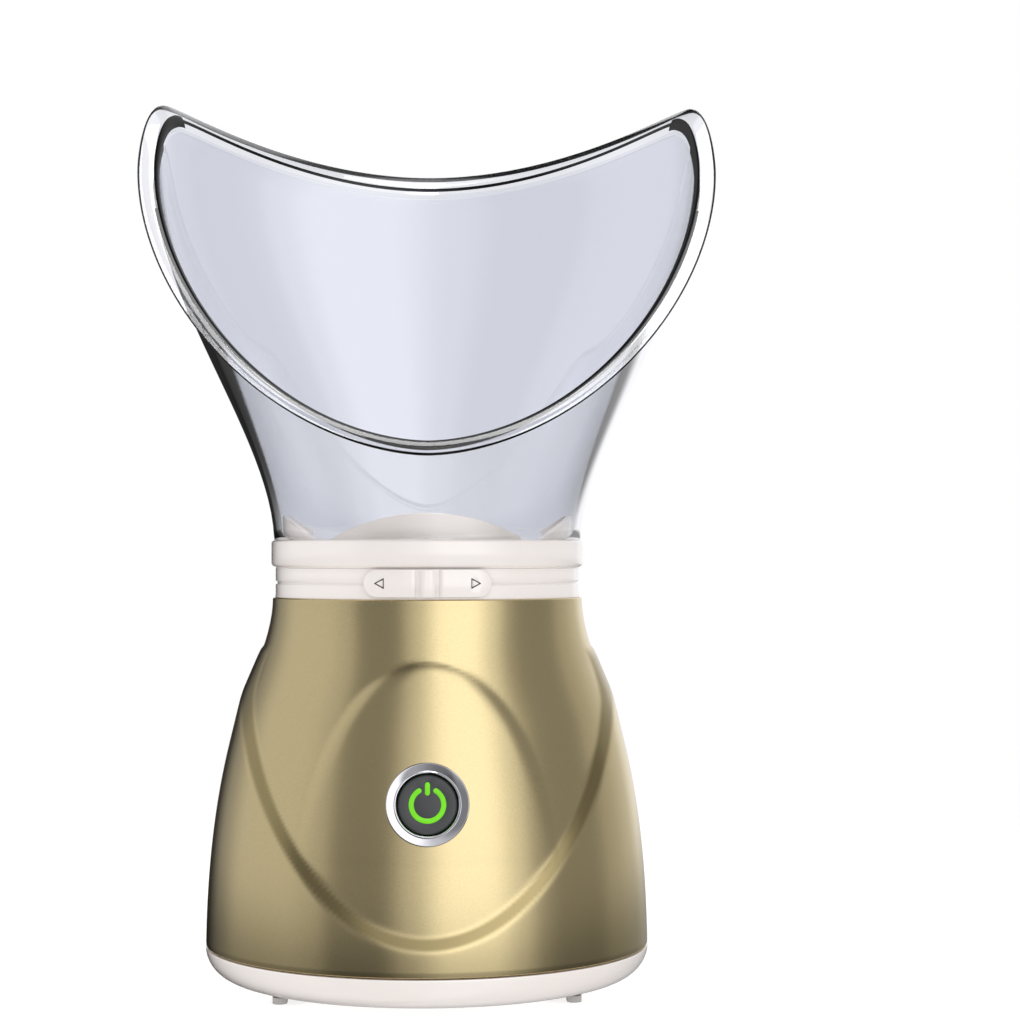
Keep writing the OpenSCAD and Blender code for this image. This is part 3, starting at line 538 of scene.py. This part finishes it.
def cut(piece, vertices, faces):
    """Takes a closed solid, given in millimetres, out of piece."""
    mesh = bpy.data.meshes.new("cutter")
    mesh.from_pydata([Vector(v) * MM for v in vertices], [], faces)
    cutter = bpy.data.objects.new("cutter", mesh)
    bpy.context.scene.collection.objects.link(cutter)
    modifier = piece.modifiers.new("cut", "BOOLEAN")
    modifier.operation = "DIFFERENCE"
    modifier.solver = "MANIFOLD"
    modifier.object = cutter
    bpy.context.view_layer.update()
    cut_mesh = bpy.data.meshes.new_from_object(piece.evaluated_get(bpy.context.evaluated_depsgraph_get()))
    piece.modifiers.remove(modifier)
    piece.data = cut_mesh
    bpy.data.objects.remove(cutter)


def full_turn(sides):
    return np.arange(sides) * 2 * math.pi / sides


def rod(start, direction, radius, length, sides=96):
    """A closed cylinder in millimetres."""
    w = Vector(direction).normalized()
    u = w.orthogonal().normalized()
    v = w.cross(u)
    start = Vector(start)
    rings = [
        [start + w * d + radius * (math.cos(a) * u + math.sin(a) * v) for a in full_turn(sides)]
        for d in (0, length)
    ]
    return loft(rings)


button_out = Vector((0, -math.cos(math.radians(BUTTON_TILT)), math.sin(math.radians(BUTTON_TILT))))
button_at = Vector((0, -float(core_radius(BUTTON_Z)) - 0.3, BUTTON_Z))
cut(housing_shell, *rod(button_at - 8 * button_out, button_out, BUTTON_HOLE_R, 14))
cut(housing_shell, *rod((0, 60, LEAD_Z), (0, 1, 0), LEAD_HOLE_R, 20))
shade(housing_shell.data, 35)


def bevel_share(angle, z):
    """1 on the flat bevel round each window, 0 elsewhere, fading where the wings end; it places the gold's
    painted shade.
    """
    x = core_radius(z) * np.cos(angle)
    inside = outline_depth(x, z, WINDOW_HALF_W, WINDOW_Z, WINDOW_DOWN, WINDOW_UP, WINDOW_POW)
    t = 1 - inside / BEVEL_W
    return np.clip(np.minimum(t, 1 - t) / 0.25 + 0.4, 0, 1) * np.clip((WING_END_Z - z) / 4, 0, 1)


# Stores the bevel share on the shell, where the gold material paints shade on the bevel.
corners = np.empty(len(housing_shell.data.vertices) * 3)
housing_shell.data.vertices.foreach_get("co", corners)
corners = corners.reshape(-1, 3) / MM
bevel = housing_shell.data.attributes.new("bevel", "FLOAT", "POINT")
bevel.data.foreach_set("value", bevel_share(np.arctan2(corners[:, 1], corners[:, 0]), corners[:, 2]))

# The bezel, as (radius, height) pairs along the button's axis
BEZEL = [
    (9.6, -14), (10.9, -14), (10.9, -1.2), (12.8, -1.2), (12.8, 0.75), (12.7, 0.95), (12.5, 1.05),
    (12.3, 1.02), (10.35, 0.5), (10.2, 0.85), (10.0, 0.98), (9.8, 0.95), (9.6, 0.75),
]


def lathe(profile, origin, direction, sides=160):
    """A closed ring made by turning a profile round an axis, in millimetres."""
    w = Vector(direction).normalized()
    u = w.orthogonal().normalized()
    v = w.cross(u)
    rings = [
        [origin + w * h + r * (math.cos(a) * u + math.sin(a) * v) for r, h in profile]
        for a in full_turn(sides)
    ]
    return loft(rings, closed_sections=True)


add_piece(
    "bezel_ring", *lathe(BEZEL, button_at, button_out),
    chrome, "base_unit", "chrome_trim", ["button_bezel"], 20
)


# ---- Clear mask ----

MASK_HALF_W = 96.4
MASK_BACK = 66
MASK_FRONT = 66
MASK_WALL = 2.4
LIP = 4.8
LIP_H = 2.2
MASK_FOOT_R = 51
MASK_FOOT_Z = 145.35
SIDE_Z = 271.4
FRONT_DROP = 100.5
HORN_A = 20
HORN_Z = 293.5
BACK_Z = 276
PLANE_POW = 1.12
OUTLINE_POW = 1.11
FLARE_H = 125
WALL_STEPS = 26
WALL_TOP = 0.965
NOSE_STEPS = 9
BLEND_STEPS = 6


def rim_z(a, drop):
    """Height of the rim at angle a in degrees, from -180 to 180 with the front at -90."""
    s = 180 - abs(a) if abs(a) > 90 else abs(a)
    t = s / HORN_A
    slope = math.radians(drop * HORN_A)
    if a < 0:
        return SIDE_Z - drop * math.sin(math.radians(s)) ** PLANE_POW
    if s < HORN_A:
        return SIDE_Z + (HORN_Z - SIDE_Z) * float(smoothstep(t)) + slope * (t ** 3 - 2 * t * t + t)
    return HORN_Z - (HORN_Z - BACK_Z) * float(smoothstep(((s - HORN_A) / (90 - HORN_A)) ** 0.88))


def rim_point(a, inset):
    ca, sa = math.cos(math.radians(a)), math.sin(math.radians(a))
    front = a < 0
    c = math.copysign(abs(ca) ** (OUTLINE_POW if front else 1), ca)
    d = -((-sa) ** PLANE_POW) if front else sa
    depth = MASK_FRONT - 0.55 * inset if front else MASK_BACK - 0.8 * inset
    lift = 0 if front else 0.6 * inset * sa ** 2 + 0.8 * inset * float(smoothstep((90 - abs(90 - a)) / 20))
    return np.array([
        (MASK_HALF_W - inset) * c,
        depth * d,
        rim_z(a, FRONT_DROP - 0.85 * inset) - min(lift, 0.8 * inset),
    ])


def flare(h):
    return float(smoothstep(min(1, h / FLARE_H) ** 0.9))


def wall_point(a, t, skin):
    top = rim_point(a, LIP)
    h = top[2] - MASK_FOOT_Z
    f = flare(h * t) / flare(h)
    foot = (MASK_FOOT_R - skin) * np.array([math.cos(math.radians(a)), math.sin(math.radians(a))])
    head = top[:2] * (1 - skin / np.hypot(*top[:2]))
    return np.array([*(foot + (head - foot) * f), MASK_FOOT_Z + h * t])


def mask_section(a):
    """One closed section of the mask: up the outer wall, round the lip and down the inner wall."""
    edge = rim_point(a, 0)
    under = wall_point(a, 1, 0)
    top = wall_point(a, 1, MASK_WALL)
    out = edge - under
    out /= np.linalg.norm(out)
    wall = under - wall_point(a, 0.93, 0)
    wall /= np.linalg.norm(wall)
    up = wall - out * float(wall @ out)
    up /= np.linalg.norm(up)
    outer_wall = [wall_point(a, t, 0) for t in np.linspace(0, WALL_TOP, WALL_STEPS)]
    r = LIP_H / 2
    middle = edge - r * out + up * 0.2
    nose = [
        middle + r * (math.cos(b) * out + math.sin(b) * up)
        for b in np.radians(np.linspace(-90, 90, NOSE_STEPS))
    ]
    inner_wall = [wall_point(a, t, MASK_WALL) for t in np.linspace(WALL_TOP, 0, WALL_STEPS)]
    start = nose[-1]
    corner = top + up * (float((start - top) @ up))
    blend = [
        (1 - t) ** 2 * (corner + (start - corner) * 0.45) + 2 * t * (1 - t) * corner + t * t * inner_wall[0]
        for t in np.linspace(0, 1, BLEND_STEPS)[:-1]
    ]
    under_line = [outer_wall[-1] + (nose[0] - outer_wall[-1]) * t for t in (0.35, 0.7)]
    return outer_wall + under_line + nose + blend + inner_wall


MASK_COLUMNS = 216
sections = [mask_section(-180 + 360 * i / MASK_COLUMNS) for i in range(MASK_COLUMNS)]
mask_shell = add_piece(
    "mask_shell", *loft(sections, closed_sections=True), clear, "mask", "clear_mask", ["mask"], 180
)
for extra in (clear_inside, clear_lip, painted_rim_shade):
    mask_shell.data.materials.append(extra.material)
OUTSIDE, INSIDE, LIP_FACES, RIM_SHADE = range(4)
# Steps round a section: the nose's tip, painted near-black as shade, and where the inner wall begins
NOSE_TIP = (29, 33)
# How the painted near-black shade line along the inner edge thins towards the back: (degrees from the front,
# first step, last step)
INNER_SHADE_LINE = [(48, 37, 42), (76, 37, 41), (96, 38, 41), (112, 38, 40), (180, 39, 39)]
INNER_END = 42


def rim_material(step, a):
    """Which material a face of the mask has: its step round the section, and its angle."""
    from_front = abs((a + 270) % 360 - 180)
    first, last = next(line[1:] for line in INNER_SHADE_LINE if from_front <= line[0])
    # The nose tip and the inner line get the painted near-black shade.
    if NOSE_TIP[0] <= step <= NOSE_TIP[1] or first <= step <= last:
        return RIM_SHADE
    if step < WALL_STEPS:
        return OUTSIDE
    return LIP_FACES if step < INNER_END else INSIDE


steps = len(sections[0])
for index, face in enumerate(mask_shell.data.polygons):
    column, step = divmod(index, steps)
    face.material_index = rim_material(step, -180 + 360 * (column + 0.5) / MASK_COLUMNS)


# ---- Slider's arrows ----

SLIDER_R = 52.3
SLIDER_Z = 131.6


def on_slider(x, z, lift):
    a = x / SLIDER_R
    r = SLIDER_R + lift
    return (r * math.sin(a), -r * math.cos(a), SLIDER_Z + z)


def arrow(way):
    """A thin outlined triangle lying on the slider's curved face."""
    tip, back, half = 1.8, -1.4, 1.7
    centre = 15.2 * way
    outer_t = [(tip, 0), (back, half), (back, -half)]
    inner_t = [(tip - 0.62, 0), (back + 0.24, half - 0.5), (back + 0.24, -half + 0.5)]
    vertices = []
    for triangle, lift in ((outer_t, 0.02), (inner_t, 0.02), (outer_t, -0.15), (inner_t, -0.15)):
        vertices += [on_slider(centre + way * x, z, lift) for x, z in triangle]
    faces = []
    for k in range(3):
        m = (k + 1) % 3
        faces += [(k, m, 3 + m, 3 + k), (6 + k, 9 + k, 9 + m, 6 + m),
                  (k, 6 + k, 6 + m, m), (3 + k, 3 + m, 9 + m, 9 + k)]
    return vertices, faces


arrow_vertices, arrow_faces = arrow(-1)
more_vertices, more_faces = arrow(1)
arrow_faces += [tuple(i + len(arrow_vertices) for i in f) for f in more_faces]
add_piece("slider_arrows", arrow_vertices + more_vertices, arrow_faces, ink, "regulator", "black_plastic")


# ---- Carried-over CAD nodes ----

slots = {row["node"]: row["material_slot"] for row in frame["record"]["subparts"]}
EDGE = {"neck_ring": 0.2, "mask_collar": 0.25, "slider_plate": 0.3, "base_cover": 0.2, "plug_body": 0.5,
        "strain_relief": 0.25, "plug_strain_relief": 0.25, "button_cap": 0.15, "rubber_feet": 0.4}
for name, node in nodes.items():
    node.data.materials.clear()
    node.data.materials.append(BY_SLOT[slots[name]].material)
    if node.hide_render:
        continue
    weld = node.modifiers.new("weld", "WELD")
    weld.merge_threshold = 1e-6
    if name in EDGE:
        bevel = node.modifiers.new("edge", "BEVEL")
        bevel.width = EDGE[name] * MM
        bevel.segments = 2
        bevel.limit_method = "ANGLE"
        bevel.angle_limit = math.radians(35)
        bevel.use_clamp_overlap = True
    shade(node.data, 32)


# ---- Floor, light and background ----

def disc(radius, sides=128):
    mesh = bpy.data.meshes.new("floor")
    mesh.from_pydata(
        [(radius * math.cos(a), radius * math.sin(a), 0) for a in full_turn(sides)], [], [tuple(range(sides))]
    )
    return mesh


floor = bpy.data.objects.new("floor", disc(3.0))
bpy.context.scene.collection.objects.link(floor)
floor_nodes = Nodes("floor")
floor_nodes.set(Base_Color=(0.36, 0.36, 0.36, 1), Emission_Color=(1, 1, 1, 1), Roughness=0.75)
floor_nodes.shader.inputs["Emission Strength"].default_value = 0.72
distance = floor_nodes.add("ShaderNodeVectorMath", operation="LENGTH")
floor_nodes.give(distance.inputs[0], floor_nodes.place())
fade = floor_nodes.add("ShaderNodeMapRange", Value=distance.outputs["Value"], interpolation_type="SMOOTHSTEP")
fade.inputs["From Min"].default_value = 0.16
fade.inputs["From Max"].default_value = 0.8
see_through = floor_nodes.add("ShaderNodeBsdfTransparent")
mix = floor_nodes.add("ShaderNodeMixShader", Fac=fade.outputs["Result"])
floor_nodes.tree.links.new(floor_nodes.shader.outputs["BSDF"], mix.inputs[1])
floor_nodes.tree.links.new(see_through.outputs["BSDF"], mix.inputs[2])
floor_nodes.tree.links.new(mix.outputs["Shader"], floor_nodes.output.inputs["Surface"])
floor.data.materials.append(floor_nodes.material)
floor.visible_glossy = False

# The room's light by direction: angles from straight behind the camera, positive to the right
BANDS = [
    (-180, 1.00), (-171.5, 1.00), (-169, 0.02), (-156, 0.02), (-148, 0.16), (-138, 0.34), (-112, 0.64),
    (-78, 0.64), (-60, 0.54), (-48, 0.26), (-24, 0.25), (-8, 0.68), (12, 1.46), (34, 1.48),
    (50, 0.90), (62, 0.40), (72, 0.28), (98, 0.28), (114, 0.46), (138, 0.64), (152, 0.95),
    (180, 1.00),
]
HIGH_LIGHT = 0.24
LOW_LIGHT = 0.3

world = bpy.data.worlds.new("studio")
bpy.context.scene.world = world
world.use_nodes = True
tree = world.node_tree
tree.nodes.clear()


def world_node(kind, **settings):
    node = tree.nodes.new(kind)
    for key, value in settings.items():
        setattr(node, key, value)
    return node


def math_node(operation, *values):
    node = world_node("ShaderNodeMath", operation=operation)
    for socket, value in zip(node.inputs, values):
        if isinstance(value, bpy.types.NodeSocket):
            tree.links.new(value, socket)
        else:
            socket.default_value = value
    return node.outputs[0]


direction = world_node("ShaderNodeTexCoord").outputs["Generated"]
xyz = world_node("ShaderNodeSeparateXYZ")
tree.links.new(direction, xyz.inputs[0])
azimuth = math_node("ARCTAN2", xyz.outputs["X"], math_node("MULTIPLY", xyz.outputs["Y"], -1.0))
share = math_node("ADD", math_node("DIVIDE", azimuth, 2 * math.pi), 0.5)
ramp = world_node("ShaderNodeValToRGB")
ramp.color_ramp.interpolation = "EASE"
tree.links.new(share, ramp.inputs["Fac"])
elements = ramp.color_ramp.elements
for i, (angle, level) in enumerate(BANDS):
    position = (angle + 180) / 360
    element = elements[i] if i < 2 else elements.new(position)
    element.position = position
    element.color = (level / 2, level / 2, level / 2, 1)
elements[0].position, elements[1].position = (BANDS[0][0] + 180) / 360, (BANDS[1][0] + 180) / 360
band_light = math_node("MULTIPLY", ramp.outputs["Color"], 2.0)


def rise(value, low, high):
    """0 below low, 1 above high, with a smooth step between."""
    node = world_node("ShaderNodeMapRange", interpolation_type="SMOOTHSTEP")
    tree.links.new(value, node.inputs["Value"])
    node.inputs["From Min"].default_value = low
    node.inputs["From Max"].default_value = high
    return node.outputs["Result"]


height = xyz.outputs["Z"]
depth = math_node("MULTIPLY", height, -1.0)
above = math_node("SUBTRACT", 1.0, math_node("MULTIPLY", rise(height, 0.74, 0.84), 1 - HIGH_LIGHT))
below = math_node("SUBTRACT", 1.0, math_node("MULTIPLY", rise(depth, 0.05, 0.16), 1 - LOW_LIGHT))
sides = math_node("MULTIPLY", math_node("MULTIPLY", band_light, above), below)
level = math_node("ADD", sides, rise(height, 0.93, 0.97))
background = world_node("ShaderNodeBackground")
tint = world_node("ShaderNodeCombineColor")
for socket, gain in zip(tint.inputs, (1.0, 1.0, 1.02)):
    tree.links.new(math_node("MULTIPLY", level, gain), socket)
tree.links.new(tint.outputs[0], background.inputs["Color"])


def white_background(strength):
    node = world_node("ShaderNodeBackground")
    node.inputs["Color"].default_value = (1, 1, 1, 1)
    node.inputs["Strength"].default_value = strength
    return node.outputs[0]


def pick(choice, when_false, when_true):
    """One background or another, by what kind of ray is asking."""
    node = world_node("ShaderNodeMixShader")
    for socket, value in zip(node.inputs, (choice, when_false, when_true)):
        tree.links.new(value, socket)
    return node.outputs[0]


# A ray that has bounced off something matt sees an even room, so that the whites stay white
EVEN_LIGHT = 1.12
path = world_node("ShaderNodeLightPath")
bounced = math_node("GREATER_THAN", path.outputs["Diffuse Depth"], 0.5)
room = pick(bounced, background.outputs[0], white_background(EVEN_LIGHT))
seen = pick(path.outputs["Is Camera Ray"], room, white_background(1.0))
world_output = world_node("ShaderNodeOutputWorld")
tree.links.new(seen, world_output.inputs["Surface"])


lamp = bpy.data.lights.new("top", "AREA")
lamp.shape = "RECTANGLE"
lamp.size, lamp.size_y = 0.6, 0.6
lamp.energy = 4
top_light = bpy.data.objects.new("top", lamp)
top_light.location = (0.1, -0.2, 1.6)
aim = Vector((0, 0, 0.1)) - top_light.location
top_light.rotation_euler = aim.to_track_quat("-Z", "Y").to_euler()
bpy.context.scene.collection.objects.link(top_light)

bpy.context.scene.view_settings.view_transform = "Standard"
bpy.context.scene.cycles.transmission_bounces = 16
bpy.context.scene.cycles.max_bounces = 20
bpy.context.scene.cycles.transparent_max_bounces = 16
